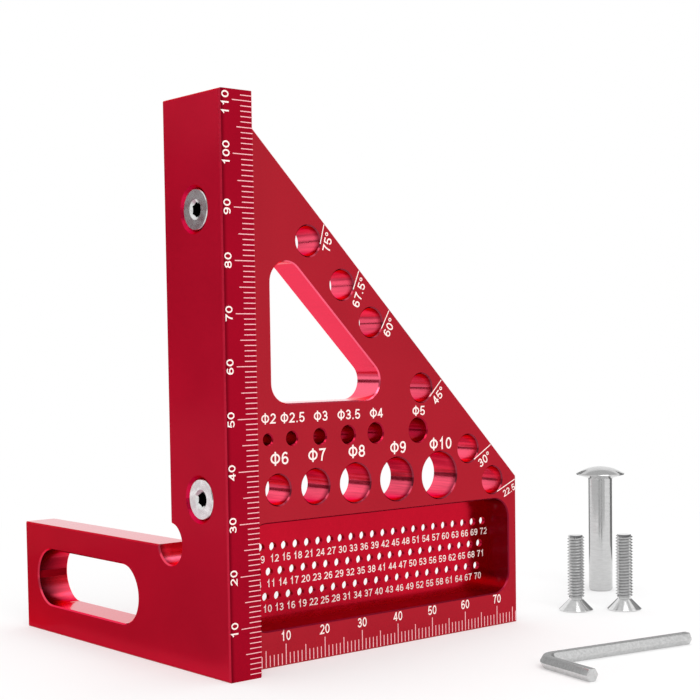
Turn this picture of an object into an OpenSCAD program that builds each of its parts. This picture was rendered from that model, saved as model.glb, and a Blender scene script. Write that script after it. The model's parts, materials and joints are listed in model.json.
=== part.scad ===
// Multi-angle marking ruler: an L-shaped fence with a scale strip along its front edge,
// a triangular plate screwed square to it, and the loose pin, key and screws of its kit.
// The origin is the zero point of the base scale, where the inner face of the fence,
// the front face of the plate and the base meet. +X runs along the base scale,
// +Y runs back from the front of the plate, and +Z runs up the fence.

/* [Fence] */
// Height of the upright
fence_h = 112; // [108:0.5:140]
// Thickness of the fence
fence_t = 7.5; // [6.5:0.1:10]
// Depth of the upright, front to back
upright_d = 19.5; // [16:0.1:26]
// How far the scale strip stands in front of the plate
strip_d = 5.4; // [3:0.1:8]
// Length of the foot, front to back
foot_l = 80.7; // [72:0.1:100]
// Height of the foot
foot_h = 24.3; // [21:0.1:28]
// Radius of the relief in the inner corner
relief_r = 4.2; // [3:0.1:5.5]
// How far the centre of the relief lies outside the inner corner, back and up
relief_out = 0.5; // [0:0.1:1]
// Bevel on the edges of the fence
fence_bevel = 0.3; // [0.2:0.05:0.8]
// Smaller bevel round the inner face, so that the lines of the scale reach its edge
inner_bevel = 0.15; // [0.1:0.05:0.2]

/* [Foot slot] */
// Height of the slot
slot_h = 12.5; // [9:0.1:14]
// Length of the slot
slot_l = 42.7; // [30:0.1:44]
// Wall between the slot and the back end of the foot
slot_wall = 5.5; // [4:0.1:8]
// Web under the slot
slot_web = 6.3; // [4:0.1:7]

/* [Plate] */
// Thickness of the plate
plate_t = 7.5; // [6.5:0.1:10]
// Height of the right-hand edge of the plate
plate_edge_h = 33.5; // [32:0.1:36]
// Drop from the top of the fence to the top of the plate
plate_drop = 2; // [1:0.1:4]
// Bevel on the edges of the plate and of its openings
plate_bevel = 0.25; // [0.1:0.05:0.5]

/* [Window] */
// Frame between the fence and the window
window_left = 7.65; // [6:0.05:10]
// Web between the upper gauge holes and the window
window_web = 7; // [5:0.1:10]
// Frame between the sloping edge and the window, square to the edge
window_frame = 11.45; // [10.5:0.05:14]
// Radius in the corners of the window
window_r = 4; // [2:0.1:6]

/* [Pencil pocket] */
// Rail under the pocket that carries the base scale
pocket_rail = 7.4; // [6.5:0.1:8]
// Wall between the pocket and the fence
pocket_start = 1.2; // [0.8:0.1:3]
// Wall between the pocket and the right-hand edge of the plate
pocket_wall = 2.6; // [2:0.1:4]
// Drop from the right-hand corner of the plate to the top of the pocket
pocket_drop = 4.75; // [4.5:0.05:6]
// Radius in the corners of the pocket
pocket_r = 4.5; // [2:0.1:6]
// Thickness of the floor of the pocket
pocket_floor = 1; // [0.6:0.1:2]
// Diameter of a pencil hole
pencil_d = 1.8; // [0.8:0.1:1.9]
// One division of the scales, and the step from one pencil hole to the next
division = 1; // [0.9:0.01:1.01]

/* [Angle holes] */
// Diameter of the angle pin
pin_d = 6; // [5:0.1:6.2]
// Distance from the sloping edge to the angle holes, square to the edge
angle_edge = 5.65; // [5:0.05:6]
// How far the setting point lies inside the fence
heel_in = 2.25; // [0:0.05:4]
// How far the setting point lies above the base
heel_up = 0.4; // [0:0.05:1]

/* [Gauge holes] */
// One millimetre of gauge hole size
gauge_unit = 1; // [0.9:0.01:1.03]
// From the top of the pocket up to the lower row of gauge holes
gauge_low_rise = 6.55; // [6.2:0.05:7]
// From the lower row of gauge holes up to the upper row
gauge_row_rise = 10.1; // [9:0.05:11]
// Clearance on the radius of the angle and gauge holes
hole_gap = 0.05; // [0.02:0.01:0.1]

/* [Screws] */
// Diameter of the screws
screw_d = 4; // [3:0.1:4.2]
// Length of the two screws that hold the plate
screw_l = 12; // [10:0.1:12.2]
// Length of the two loose screws
spare_l = 18; // [10:1:20]
// Diameter of a countersunk head
head_d = 8; // [6:0.1:8.4]
// Width of the straight rim of the head
head_rim = 0.3; // [0.1:0.05:0.5]
// Width of the hexagon socket, across its flats
socket_af = 2.6; // [2:0.1:3]
// Depth of the hexagon socket
socket_d = 1.8; // [1:0.1:2.2]
// Diameter of the countersink at the face of the fence
sink_d = 9.4; // [9:0.1:10]
// Clearance on the radius where a screw passes through the fence
pass_gap = 0.25; // [0.1:0.05:0.4]
// Clearance on the radius where a screw runs in the plate
thread_gap = 0.05; // [0.02:0.01:0.1]
// Gap between a head and its countersink, along the screw
seat_gap = 0.1; // [0.05:0.05:0.3]

/* [Loose pin] */
// Length of the shank of the pin
pin_l = 29; // [20:0.5:36]
// Diameter of the head of the pin
pin_head_d = 12.2; // [9:0.1:14]
// Height of the head of the pin
pin_head_h = 2.9; // [2:0.1:4]
// Height of the taper under the head
pin_under_h = 0.9; // [0.5:0.1:1.2]
// Bevel on the free end of the pin
pin_bevel = 0.4; // [0.2:0.1:1]

/* [Loose key] */
// Width of the key, across its flats
key_af = 2.5; // [2:0.1:3]
// Length of the long arm, over the bend
key_long = 40; // [30:0.5:60]
// Length of the short arm, over the bend
key_short = 17.5; // [12:0.5:22]
// Radius of the bend at the middle of the bar
key_bend_r = 3.5; // [2.5:0.1:6]

/* [Places of the loose pieces] */
// Gap between the plate and the first loose screw, centre to edge
kit_gap = 20.3; // [15:0.1:40]
// Distance between the two loose screws
spare_gap = 11.5; // [10:0.1:20]
// How far the pin stands to the right of the first loose screw
pin_right = 10.6; // [0:0.1:20]
// How far the pin stands behind the loose screws
pin_behind = 28; // [15:0.1:40]
// How far the bend of the key lies to the left of the first loose screw
key_left = 16.3; // [14:0.1:20]
// How far the bend of the key lies in front of the loose screws
key_front = 60.3; // [56:0.1:70]
// Turn of the long arm of the key against the row of loose screws, in degrees
key_turn = 30; // [20:1:35]

/* [Hidden] */
$fn = 64;

// Colours of the anodised aluminium and of the plated steel
red = [0.68, 0.06, 0.13];
steel = [0.76, 0.76, 0.77];

// Overrun of every cut
over = 0.5;

// Faces of the fence, measured from the front of the plate
upright_back = upright_d - strip_d;
foot_back = foot_l - strip_d;

// The sloping edge falls at 45 degrees, so height and distance along it add up to slope_sum
slope_sum = fence_h - plate_drop;
plate_w = slope_sum - plate_edge_h;

// Corner centres of the slot, from front to back
slot_r = slot_h / 2;
slot_z = slot_web + slot_r;
slot_rear_y = foot_back - slot_wall - slot_r;
slot_front_y = foot_back - slot_wall - slot_l + slot_r;
slot_centres = [[slot_front_y, slot_z], [slot_rear_y, slot_z]];

// Corner centres of the pocket, anticlockwise
pocket_top = plate_edge_h - pocket_drop;
pocket_x0 = pocket_start + pocket_r;
pocket_x1 = plate_w - pocket_wall - pocket_r;
pocket_y0 = pocket_rail + pocket_r;
pocket_y1 = pocket_top - pocket_r;
pocket_centres = [[pocket_x0, pocket_y0], [pocket_x1, pocket_y0],
                  [pocket_x1, pocket_y1], [pocket_x0, pocket_y1]];

// Heights of the two rows of gauge holes
gauge_low_z = pocket_top + gauge_low_rise;
gauge_high_z = gauge_low_z + gauge_row_rise;

// Corner centres of the window, anticlockwise
window_sum = slope_sum - (window_frame + window_r) * sqrt(2);
window_x0 = window_left + window_r;
window_y0 = gauge_high_z + window_web + window_r;
window_centres = [[window_x0, window_y0], [window_sum - window_y0, window_y0],
                  [window_x0, window_sum - window_x0]];

// Sizes of the gauge holes in gauge units, and their places as shares of the plate's width
gauge_high_size_shares = [2, 2.5, 3, 3.5, 4, 5];
gauge_high_x_shares = [0.084, 0.162, 0.256, 0.353, 0.451, 0.608];
gauge_low_size_shares = [6, 7, 8, 9, 10];
gauge_low_x_shares = [0.115, 0.239, 0.377, 0.527, 0.689];

// Angles that the angle holes set, in degrees
angles = [75, 67.5, 60, 45, 30, 22.5];
angle_sum = slope_sum - angle_edge * sqrt(2);

// The line at angle a through the setting point touches the pin in the hole for that angle,
// and the centre of the hole lies on the line along which height and distance add up to angle_sum
function angle_x(a) =
    (angle_sum * cos(a) - heel_in * sin(a) - heel_up * cos(a) - pin_d / 2) / (sin(a) + cos(a));
function angle_hole(a) = [angle_x(a), angle_sum - angle_x(a)];

// Pencil holes: three rows, each hole one division further from the fence than the last
pencil_rows = 3;
pencil_first = 4;
pencil_last = floor((plate_w - pocket_wall - pencil_d) / division);
pencil_height_shares = [0.26, 0.4975, 0.735];

// Heights of the two screws as shares of the fence's height
screw_low_share = 0.307;
screw_high_share = 0.8045;

// The head sits below the face until its cone nearly meets the countersink
head_h = head_rim + (head_d - screw_d) / 2;
head_sink = (sink_d - head_d) / 2 - head_rim - seat_gap;
screw_end = head_sink + screw_l - fence_t;
screw_bevel = screw_d / 10;

// The loose pieces stand in rows turned by kit_turn degrees, to the right of the plate
kit_turn = -40;
key_place = [-key_left, -key_front];
pin_place = [pin_right, pin_behind];
spare_places = [[0, 0], [spare_gap, 0]];

// Outline with round corners: circles on the given centres, joined by straight sides
module rounded(centres, r) {
    n = len(centres);
    for (c = centres)
        translate(c)
            circle(r);
    polygon([for (i = [0 : n - 1])
             for (c = [centres[i], centres[(i + 1) % n]])
             c + r * side_normal(centres[i], centres[(i + 1) % n])]);
}

// Outward normal of the side from p to q of an anticlockwise outline
function side_normal(p, q) = [q.y - p.y, p.x - q.x] / norm(q - p);

// Square bar along the side from p to q, turned so that it cuts a bevel of width b
module side_bevel(p, q, b) {
    length = norm(q - p);
    translate(p)
        rotate([0, 0, atan2(q.y - p.y, q.x - p.x)])
            rotate([0, 90, 0])
                translate([0, 0, -over])
                    linear_extrude(length + 2 * over)
                        rotate(45)
                            square(b * sqrt(2), center = true);
}

// Bevels along every side of an outline with sharp corners
module outline_bevel(points, b) {
    n = len(points);
    for (i = [0 : n - 1])
        side_bevel(points[i], points[(i + 1) % n], b);
}

// Bevel round the mouth of an opening with round corners, which opens towards +Z at height 0
module mouth_bevel(centres, r, b) {
    n = len(centres);
    for (i = [0 : n - 1]) {
        out = r * side_normal(centres[i], centres[(i + 1) % n]);
        translate([0, 0, -b])
            translate(centres[i])
                cylinder(h = b + over, r1 = r, r2 = r + b + over);
        straight_bevel(centres[i] + out, centres[(i + 1) % n] + out, b);
    }
}

// Bevel along one straight side of an opening, ending where the side ends
module straight_bevel(p, q, b) {
    translate(p)
        rotate([0, 0, atan2(q.y - p.y, q.x - p.x)])
            rotate([90, 0, 90])
                linear_extrude(norm(q - p))
                    polygon([[b, -b], [b, over], [-b - over, over], [0, -b]]);
}

// Round hole through a plate of thickness t, bevelled at both mouths
module bevelled_hole(centre, r, t, b) {
    translate(centre) {
        translate([0, 0, -over])
            cylinder(h = t + 2 * over, r = r);
        translate([0, 0, t - b])
            cylinder(h = b + over, r1 = r, r2 = r + b + over);
        translate([0, 0, -over])
            cylinder(h = b + over, r1 = r + b + over, r2 = r);
    }
}

// The fence is drawn lying on its outer face and then stood up
module fence() {
    outline = [[-strip_d, 0], [foot_back, 0], [foot_back, foot_h],
               [upright_back, foot_h], [upright_back, fence_h], [-strip_d, fence_h]];
    color(red)
        translate([-fence_t, 0, 0])
            rotate([90, 0, 90])
                difference() {
                    linear_extrude(fence_t)
                        polygon(outline);
                    outline_bevel(outline, fence_bevel);
                    translate([0, 0, fence_t]) {
                        outline_bevel(outline, inner_bevel);
                        side_bevel(outline[0], outline[1], fence_bevel);
                    }
                    corner_relief();
                    foot_slot();
                    for (share = [screw_low_share, screw_high_share])
                        translate([plate_t / 2, share * fence_h, 0])
                            screw_passage();
                }
}

// Round relief where the foot meets the upright, so that a square edge can seat there
module corner_relief() {
    translate([upright_back + relief_out, foot_h + relief_out, 0]) {
        translate([0, 0, -over])
            cylinder(h = fence_t + 2 * over, r = relief_r);
        translate([0, 0, fence_t - fence_bevel])
            cylinder(h = fence_bevel + over, r1 = relief_r, r2 = relief_r + fence_bevel + over);
        translate([0, 0, -over])
            cylinder(h = fence_bevel + over, r1 = relief_r + fence_bevel + over, r2 = relief_r);
    }
}

module foot_slot() {
    translate([0, 0, -over])
        linear_extrude(fence_t + 2 * over)
            rounded(slot_centres, slot_r);
    translate([0, 0, fence_t])
        mouth_bevel(slot_centres, slot_r, fence_bevel);
    mirror([0, 0, 1])
        mouth_bevel(slot_centres, slot_r, fence_bevel);
}

// Countersunk hole for one screw, from the outer face through the fence
module screw_passage() {
    pass_r = screw_d / 2 + pass_gap;
    sink_h = sink_d / 2 - pass_r;
    translate([0, 0, -over])
        cylinder(h = fence_t + 2 * over, r = pass_r);
    translate([0, 0, -over])
        cylinder(h = sink_h + over, r1 = sink_d / 2 + over, r2 = pass_r);
}

// The plate is drawn lying on its back and then stood up
module triangle_plate() {
    outline = [[0, 0], [plate_w, 0], [plate_w, plate_edge_h], [0, slope_sum]];
    color(red)
        translate([0, plate_t, 0])
            rotate([90, 0, 0])
                difference() {
                    linear_extrude(plate_t)
                        polygon(outline);
                    for (z = [0, plate_t])
                        translate([0, 0, z])
                            outline_bevel(outline, plate_bevel);
                    window();
                    pencil_pocket();
                    angle_holes();
                    gauge_holes();
                    for (share = [screw_low_share, screw_high_share])
                        translate([0, share * fence_h, plate_t / 2])
                            screw_bore();
                }
}

module window() {
    translate([0, 0, -over])
        linear_extrude(plate_t + 2 * over)
            rounded(window_centres, window_r);
    translate([0, 0, plate_t])
        mouth_bevel(window_centres, window_r, plate_bevel);
    mirror([0, 0, 1])
        mouth_bevel(window_centres, window_r, plate_bevel);
}

// Recess with a thin floor, and the rows of fine holes through that floor
module pencil_pocket() {
    translate([0, 0, pocket_floor])
        linear_extrude(plate_t - pocket_floor + over)
            rounded(pocket_centres, pocket_r);
    translate([0, 0, plate_t])
        mouth_bevel(pocket_centres, pocket_r, plate_bevel);
    for (k = [pencil_first : pencil_last]) {
        row_share = pencil_height_shares[(k - pencil_first) % pencil_rows];
        row_z = pocket_rail + row_share * (pocket_top - pocket_rail);
        translate([k * division, row_z, -over])
            cylinder(h = pocket_floor + 2 * over, d = pencil_d);
    }
}

module angle_holes() {
    for (a = angles)
        bevelled_hole(angle_hole(a), pin_d / 2 + hole_gap, plate_t, plate_bevel);
}

module gauge_holes() {
    for (i = [0 : len(gauge_high_size_shares) - 1])
        bevelled_hole([gauge_high_x_shares[i] * plate_w, gauge_high_z],
                      gauge_high_size_shares[i] * gauge_unit / 2 + hole_gap, plate_t, plate_bevel);
    for (i = [0 : len(gauge_low_size_shares) - 1])
        bevelled_hole([gauge_low_x_shares[i] * plate_w, gauge_low_z],
                      gauge_low_size_shares[i] * gauge_unit / 2 + hole_gap, plate_t, plate_bevel);
}

// Blind bore for one screw, from the edge that meets the fence
module screw_bore() {
    translate([-over, 0, 0])
        rotate([0, 90, 0])
            cylinder(h = screw_end + 2 * seat_gap + over, r = screw_d / 2 + thread_gap);
}

// Countersunk screw with its head at height 0 and its tip at its length above
module countersunk_screw(length) {
    head_r = head_d / 2;
    shank_r = screw_d / 2;
    color(steel)
        difference() {
            rotate_extrude()
                polygon([[0, 0], [head_r, 0], [head_r, head_rim], [shank_r, head_h],
                         [shank_r, length - screw_bevel], [shank_r - screw_bevel, length],
                         [0, length]]);
            translate([0, 0, -over])
                cylinder(h = socket_d + over, d = socket_af / cos(30), $fn = 6);
        }
}

module fence_screw(share) {
    translate([head_sink - fence_t, plate_t / 2, share * fence_h])
        rotate([0, 90, 0])
            countersunk_screw(screw_l);
}

module fence_screw_upper() {
    fence_screw(screw_high_share);
}

module fence_screw_lower() {
    fence_screw(screw_low_share);
}

// Puts a loose piece at its place in the turned rows
module in_kit(place) {
    translate([plate_w + kit_gap, 0, 0])
        rotate([0, 0, kit_turn])
            translate(place)
                children();
}

// Each loose screw stands on its head
module spare_screw_1() {
    in_kit(spare_places[0])
        countersunk_screw(spare_l);
}

module spare_screw_2() {
    in_kit(spare_places[1])
        countersunk_screw(spare_l);
}

// The pin stands on the end of its shank, with its domed head at the top
module angle_pin() {
    pin_r = pin_d / 2;
    head_r = pin_head_d / 2;
    dome_h = pin_head_h - pin_under_h;
    dome_r = (pow(head_r, 2) + pow(dome_h, 2)) / (2 * dome_h);
    color(steel)
        in_kit(pin_place)
            union() {
                rotate_extrude()
                    polygon([[0, 0], [pin_r - pin_bevel, 0], [pin_r, pin_bevel], [pin_r, pin_l],
                             [head_r, pin_l + pin_under_h], [0, pin_l + pin_under_h]]);
                intersection() {
                    translate([0, 0, pin_l + pin_head_h - dome_r])
                        sphere(dome_r);
                    translate([0, 0, pin_l + pin_under_h])
                        cylinder(h = pin_head_h, r = head_r);
                }
            }
}

// The key lies on one of its flats, with its short arm towards the front
module hex_key() {
    color(steel)
        in_kit(key_place)
            rotate([0, 0, key_turn])
                translate([0, 0, key_af / 2]) {
                    translate([key_bend_r, 0, 0])
                        rotate([90, 0, 90])
                            linear_extrude(key_long - key_bend_r - key_af / 2)
                                key_section();
                    translate([key_bend_r, -key_bend_r, 0])
                        rotate([0, 0, 90])
                            rotate_extrude(angle = 90)
                                translate([key_bend_r, 0])
                                    key_section();
                    translate([0, -key_bend_r, 0])
                        rotate([90, 0, 0])
                            linear_extrude(key_short - key_bend_r - key_af / 2)
                                key_section();
                }
}

module key_section() {
    circle(d = key_af / cos(30), $fn = 6);
}

fence();
triangle_plate();
fence_screw_upper();
fence_screw_lower();
angle_pin();
hex_key();
spare_screw_1();
spare_screw_2();
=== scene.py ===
import bpy
import json
import math
from mathutils import Matrix, Vector


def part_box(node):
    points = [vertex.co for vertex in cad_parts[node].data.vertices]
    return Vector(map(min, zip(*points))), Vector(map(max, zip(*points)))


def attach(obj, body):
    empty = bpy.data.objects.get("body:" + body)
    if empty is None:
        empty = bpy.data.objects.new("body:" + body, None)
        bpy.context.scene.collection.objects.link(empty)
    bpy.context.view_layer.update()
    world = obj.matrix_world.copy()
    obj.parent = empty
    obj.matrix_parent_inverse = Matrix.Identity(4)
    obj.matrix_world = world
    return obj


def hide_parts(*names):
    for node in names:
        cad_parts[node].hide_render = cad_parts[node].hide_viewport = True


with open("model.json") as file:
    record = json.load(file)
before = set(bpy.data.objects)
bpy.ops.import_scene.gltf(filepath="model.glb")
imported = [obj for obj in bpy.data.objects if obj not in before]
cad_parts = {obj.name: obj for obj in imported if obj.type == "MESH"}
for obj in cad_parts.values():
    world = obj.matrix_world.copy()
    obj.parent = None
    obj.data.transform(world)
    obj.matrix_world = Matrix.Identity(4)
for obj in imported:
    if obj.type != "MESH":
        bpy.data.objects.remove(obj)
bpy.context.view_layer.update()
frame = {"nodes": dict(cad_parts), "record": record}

# Camera
# A long lens stands left of the ruler and a little above the floor, and looks along the plate,
# so the fence shows its outer face and the plate its front. The values were fitted to the
# corners, holes and base scale that the photograph shows.
photo_side_px = 700
focal_length_px = 1470.05
sensor_width = 36.0
camera_place = (-0.166313, -0.232360, 0.063822)
camera_turn = (87.0117, 0.8016, -40.4428)
picture_centre_px = (364.644, 421.517)
nearest_seen = 0.01
furthest_seen = 50.0

camera_data = bpy.data.cameras.new("camera")
camera_data.sensor_width = sensor_width
camera_data.lens = focal_length_px / photo_side_px * sensor_width
camera_data.shift_x = 0.5 - picture_centre_px[0] / photo_side_px
camera_data.shift_y = picture_centre_px[1] / photo_side_px - 0.5
camera_data.clip_start = nearest_seen
camera_data.clip_end = furthest_seen
camera = bpy.data.objects.new("camera", camera_data)
camera.location = camera_place
camera.rotation_euler = [math.radians(turn) for turn in camera_turn]
bpy.context.scene.collection.objects.link(camera)
bpy.context.scene.camera = camera

# Fence
# The upright and the foot are one L of aluminium plate, milled round its outline and through its
# slot, bead blasted and dyed red in the anodising bath. The blast leaves the flats satin. The
# slot, the relief and the countersinks are cut after it and stay smooth. The slot and the relief
# are painted darker near their mouths, and the front strip darker overall, as shade.
mm = 0.001
fence_red = "C6223C"
# The strip's darker red is painted shade on the fence's front face
strip_red = "A80E27"
fence_wall_red = "CC2048"
fence_cut_red = "F04862"
relief_red = "F4627C"
sink_red = "CE1440"
oxide_glint = "FF7088"
oxide_roughness = 0.12
gloss_spread = 0.04

# In mm: the grain that each way of making a surface leaves, where the relief and the slot lie
# along y and z, and how far they, the countersinks and the painted shade reach. The real grain is
# about 0.1 mm, which wouldn't show, so it is drawn coarser.
blast_grain = 0.4
blasted = (blast_grain,) * 3
milled_along_x = (12.0, 0.5, 0.5)
cut_round = (0.5, 0.5, 0.5)
grain_height = 0.02
dye_patch = 14.0
sink_reach = 6.0
relief_place = (14.6, 24.8)
relief_reach = 5.5
slot_place = (48.5, 12.5)
slot_reach = (22.0, 7.0)
mouth_shade_reach = 2.2
slot_shade_reach = 8.0
strip_shade_start = 0.3
strip_shade_reach = 1.0

# The share of the colour that painted shade leaves, the span of one noise and of two added
# noises, and how far along an axis a normal points on a flat and at most on a wall
mouth_shade_share = 0.3
slot_shade_share = 0.12
strip_shade_share = 0.5
noise_low, noise_high = 0.3, 0.7
uptake_low, uptake_high = 0.7, 1.3
flat_normal = 0.99
wall_normal = 0.3


def linear(hex_colour):
    """Turn an sRGB hex colour into the linear values that Blender's sockets take."""
    channels = [int(hex_colour[i : i + 2], 16) / 255 for i in (0, 2, 4)]
    return [c / 12.92 if c <= 0.04045 else ((c + 0.055) / 1.055) ** 2.4 for c in channels] + [1.0]


def add_node(tree, kind, inputs, **settings):
    """Add a node with its settings, and give its inputs a value or another node's output."""
    made = tree.nodes.new(kind)
    for name, value in settings.items():
        setattr(made, name, value)
    for name, value in inputs.items():
        if isinstance(value, bpy.types.NodeSocket):
            tree.links.new(value, made.inputs[name])
        else:
            made.inputs[name].default_value = value
    return made


def bare_material(name):
    """Make a material with an empty node tree."""
    material = bpy.data.materials.new(name)
    material.use_nodes = True
    material.node_tree.nodes.clear()
    return material, material.node_tree


def anodised_aluminium(name, dye, roughness, grain, coat, lines=0.12, edge=None):
    """Red anodised aluminium: metal under a thin clear oxide that holds the dye. The grain is its
    size in mm along x, y and z, so a long grain is the line that a cutter leaves, and lines is
    how deep it stands. An edge gets painted shade: an axis, a place on it where the colour is
    darkest, how far the shade reaches from there, and the share of the colour left at the place."""
    material, tree = bare_material(name)
    place = add_node(tree, "ShaderNodeTexCoord", {})
    grain_space = add_node(tree, "ShaderNodeMapping", {
        "Vector": place.outputs["Object"], "Scale": [1 / (size * mm) for size in grain]})
    fine = add_node(tree, "ShaderNodeTexNoise", {
        "Vector": grain_space.outputs["Vector"], "Scale": 1.0, "Detail": 2.0, "Roughness": 0.6})
    broad = add_node(tree, "ShaderNodeTexNoise", {
        "Vector": place.outputs["Object"], "Scale": 1 / (dye_patch * mm), "Detail": 1.0})
    uptake = add_node(tree, "ShaderNodeMath", {
        0: fine.outputs["Fac"], 1: broad.outputs["Fac"]}, operation="ADD")
    shade = add_node(tree, "ShaderNodeMapRange", {
        "Value": uptake.outputs["Value"], "From Min": uptake_low, "From Max": uptake_high,
        "To Min": 1 - lines / 2, "To Max": 1 + lines / 2})
    # Painted shade: the colour darkens towards the edge
    if edge:
        axis, start, reach, share = edge
        parts = add_node(tree, "ShaderNodeSeparateXYZ", {"Vector": place.outputs["Object"]})
        edge_shade = add_node(tree, "ShaderNodeMapRange", {
            "Value": parts.outputs[axis], "From Min": start, "From Max": start + reach * mm,
            "To Min": share, "To Max": 1.0}, interpolation_type="SMOOTHSTEP")
        shade = add_node(tree, "ShaderNodeMath", {
            0: shade.outputs["Result"], 1: edge_shade.outputs["Result"]}, operation="MULTIPLY")
    colour = add_node(tree, "ShaderNodeHueSaturation", {
        "Color": linear(dye), "Value": shade.outputs[0]})
    gloss = add_node(tree, "ShaderNodeMapRange", {
        "Value": fine.outputs["Fac"], "From Min": noise_low, "From Max": noise_high,
        "To Min": roughness - gloss_spread, "To Max": roughness + gloss_spread})
    relief = add_node(tree, "ShaderNodeBump", {
        "Height": fine.outputs["Fac"], "Strength": lines, "Distance": grain_height * mm})
    surface = add_node(tree, "ShaderNodeBsdfPrincipled", {
        "Base Color": colour.outputs["Color"], "Metallic": 1.0,
        "Roughness": gloss.outputs["Result"], "Normal": relief.outputs["Normal"],
        "Specular Tint": linear(oxide_glint), "Coat Weight": coat,
        "Coat Roughness": oxide_roughness})
    add_node(tree, "ShaderNodeOutputMaterial", {"Surface": surface.outputs["BSDF"]})
    return material


def finish_faces(piece, finishes, choice):
    """Give a piece its finishes, and let a function choose the one that each face takes."""
    piece.data.materials.clear()
    for finish in finishes:
        piece.data.materials.append(finish)
    for face in piece.data.polygons:
        face.material_index = finishes.index(choice(face))


fence = frame["nodes"]["fence"]
fence_low, fence_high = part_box("fence")
relief_middle = Vector((fence_low.x, relief_place[0] * mm, relief_place[1] * mm))
slot_middle = Vector((fence_low.x, slot_place[0] * mm, slot_place[1] * mm))
screw_axes = [sum(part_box("fence_screw_" + which), Vector()) / 2 for which in ("upper", "lower")]

# Satin: the blast leaves a fine grain that spreads the light, so the flats are one even red
fence_flat = anodised_aluminium(
    "blasted_red_anodised_fence", fence_red, roughness=0.42, grain=blasted, coat=0.05)
# Bright: the cutter leaves the walls smooth, and the oxide over them mirrors the pale room
fence_wall = anodised_aluminium(
    "milled_red_anodised_fence", fence_wall_red, roughness=0.18, grain=milled_along_x, coat=1.0)
# Satin like the flats, in a darker red that is painted shade on the front face, with a darker
# line of painted shade along the outer edge
fence_strip = anodised_aluminium(
    "blasted_red_anodised_strip", strip_red, roughness=0.42, grain=blasted, coat=0.0,
    edge=("X", fence_low.x + strip_shade_start * mm, strip_shade_reach, strip_shade_share))
# A light red, partly painted highlight, with fine streaks along the cutter's axis, and painted
# shade as a dark rim just behind the mouth
fence_round = anodised_aluminium(
    "milled_red_anodised_curves", relief_red, roughness=0.22, grain=milled_along_x, coat=0.0,
    lines=0.3, edge=("X", fence_low.x, mouth_shade_reach, mouth_shade_share))
# The same, but the painted shade reaches so far in that the slot's ends are nearly black at the
# mouth
fence_slot = anodised_aluminium(
    "painted_shade_red_anodised_slot", fence_cut_red, roughness=0.22, grain=milled_along_x,
    coat=0.0, lines=0.3, edge=("X", fence_low.x, slot_shade_reach, slot_shade_share))
# A thin light line round each mouth, its light red partly painted highlight
fence_mouth = anodised_aluminium(
    "bevelled_red_anodised_mouths", fence_cut_red, roughness=0.22, grain=cut_round, coat=0.0)
# A pure deep red ring round each screw's head, softer than the milled walls
fence_sink = anodised_aluminium(
    "countersunk_red_anodised_sinks", sink_red, roughness=0.3, grain=cut_round, coat=0.0,
    lines=0.3)


def fence_finish(face):
    """Choose the finish of a face of the fence by its place and the way it faces."""
    if face.normal.y < -flat_normal:
        return fence_strip
    if abs(face.normal.x) > flat_normal:
        return fence_flat
    wall = abs(face.normal.x) < wall_normal
    off_slot = face.center - slot_middle
    in_slot = abs(off_slot.y) < slot_reach[0] * mm and abs(off_slot.z) < slot_reach[1] * mm
    in_relief = (face.center - relief_middle).yz.length < relief_reach * mm
    in_sink = any((face.center - axis).yz.length < sink_reach * mm for axis in screw_axes)
    if not (in_slot or in_relief or in_sink):
        return fence_wall if wall else fence_flat
    if not wall:
        return fence_sink if in_sink else fence_mouth
    if in_relief:
        return fence_round
    curved = abs(face.normal.z) < flat_normal
    return fence_slot if curved else fence_wall


finish_faces(fence, [fence_flat, fence_wall, fence_strip, fence_round, fence_mouth, fence_slot,
                     fence_sink], fence_finish)

# Fence scale
# The height scale is burnt out of the dye by a laser, a line for each millimetre and a number at
# each tenth one, read from the right of the fence. The marks are as thin as the oxide.
mark_depth = 0.02
tick_width = 0.21
fence_tick_width = 0.17
fence_numbers = range(10, 111, 10)
fence_tick_lengths = {1: 2.75, 5: 3.7, 10: 4.65}
fence_number_height = 1.6
fence_number_spread = 1.25
fence_number_middle = -6.2
fence_last_number_drop = 2.7

# Each character is drawn as a pen would draw it, one unit high and with its middle at x = 0:
# a point, or an arc as (centre, radii, first angle, last angle).
characters = {
    "0": [[((0, 0.5), (0.26, 0.43), 0, 360)]],
    "1": [[(-0.2, 0.7), (-0.06, 0.78), (0.05, 0.94), (0.05, 0)]],
    "2": [[((0, 0.67), (0.25, 0.26), 165, -25), (-0.26, 0.07), (0.31, 0.07)]],
    "3": [[((-0.01, 0.7), (0.22, 0.23), 165, -90), (-0.09, 0.5)],
          [(-0.09, 0.53), ((-0.01, 0.3), (0.26, 0.23), 90, -165)]],
    "4": [[(0.13, 0), (0.13, 0.98)], [(0.11, 0.93), (-0.27, 0.28), (0.33, 0.28)]],
    "5": [[(0.27, 0.93), (-0.17, 0.93), (-0.24, 0.47), ((0, 0.32), (0.26, 0.25), 140, -160)]],
    "6": [[((0.01, 0.32), (0.25, 0.25), 0, 360)],
          [((0.03, 0.5), (0.28, 0.43), 48, 180), (-0.24, 0.33)]],
    "7": [[(-0.3, 0.93), (0.27, 0.93), (0.1, 0.66), (0, 0.38), (-0.06, 0)]],
    "8": [[((0, 0.71), (0.22, 0.22), 0, 360)], [((0, 0.3), (0.26, 0.23), 0, 360)]],
    "9": [[((-0.01, 0.68), (0.25, 0.25), 0, 360)],
          [((-0.03, 0.5), (0.28, 0.43), 228, 360), (0.24, 0.67)]],
    ".": [[(0, 0), (0, 0.15)]],
    "°": [[((0, 0.82), (0.15, 0.15), 0, 360)]],
    "Φ": [[((0, 0.5), (0.39, 0.34), 0, 360)], [(0, -0.05), (0, 1.05)]],
}
pen_width = 0.145
fine_pen_width = 0.1
pen_weld_gap = 1e-5
advances = {".": 0.4, "°": 0.5, "Φ": 1.06}
digit_advance = 0.8
arc_step = 18
number_white = ("FFF6F0", "FFE6E0")
line_pink = ("FBC8CA", "F2A8AE")
chalk_roughness = 0.7


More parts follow.
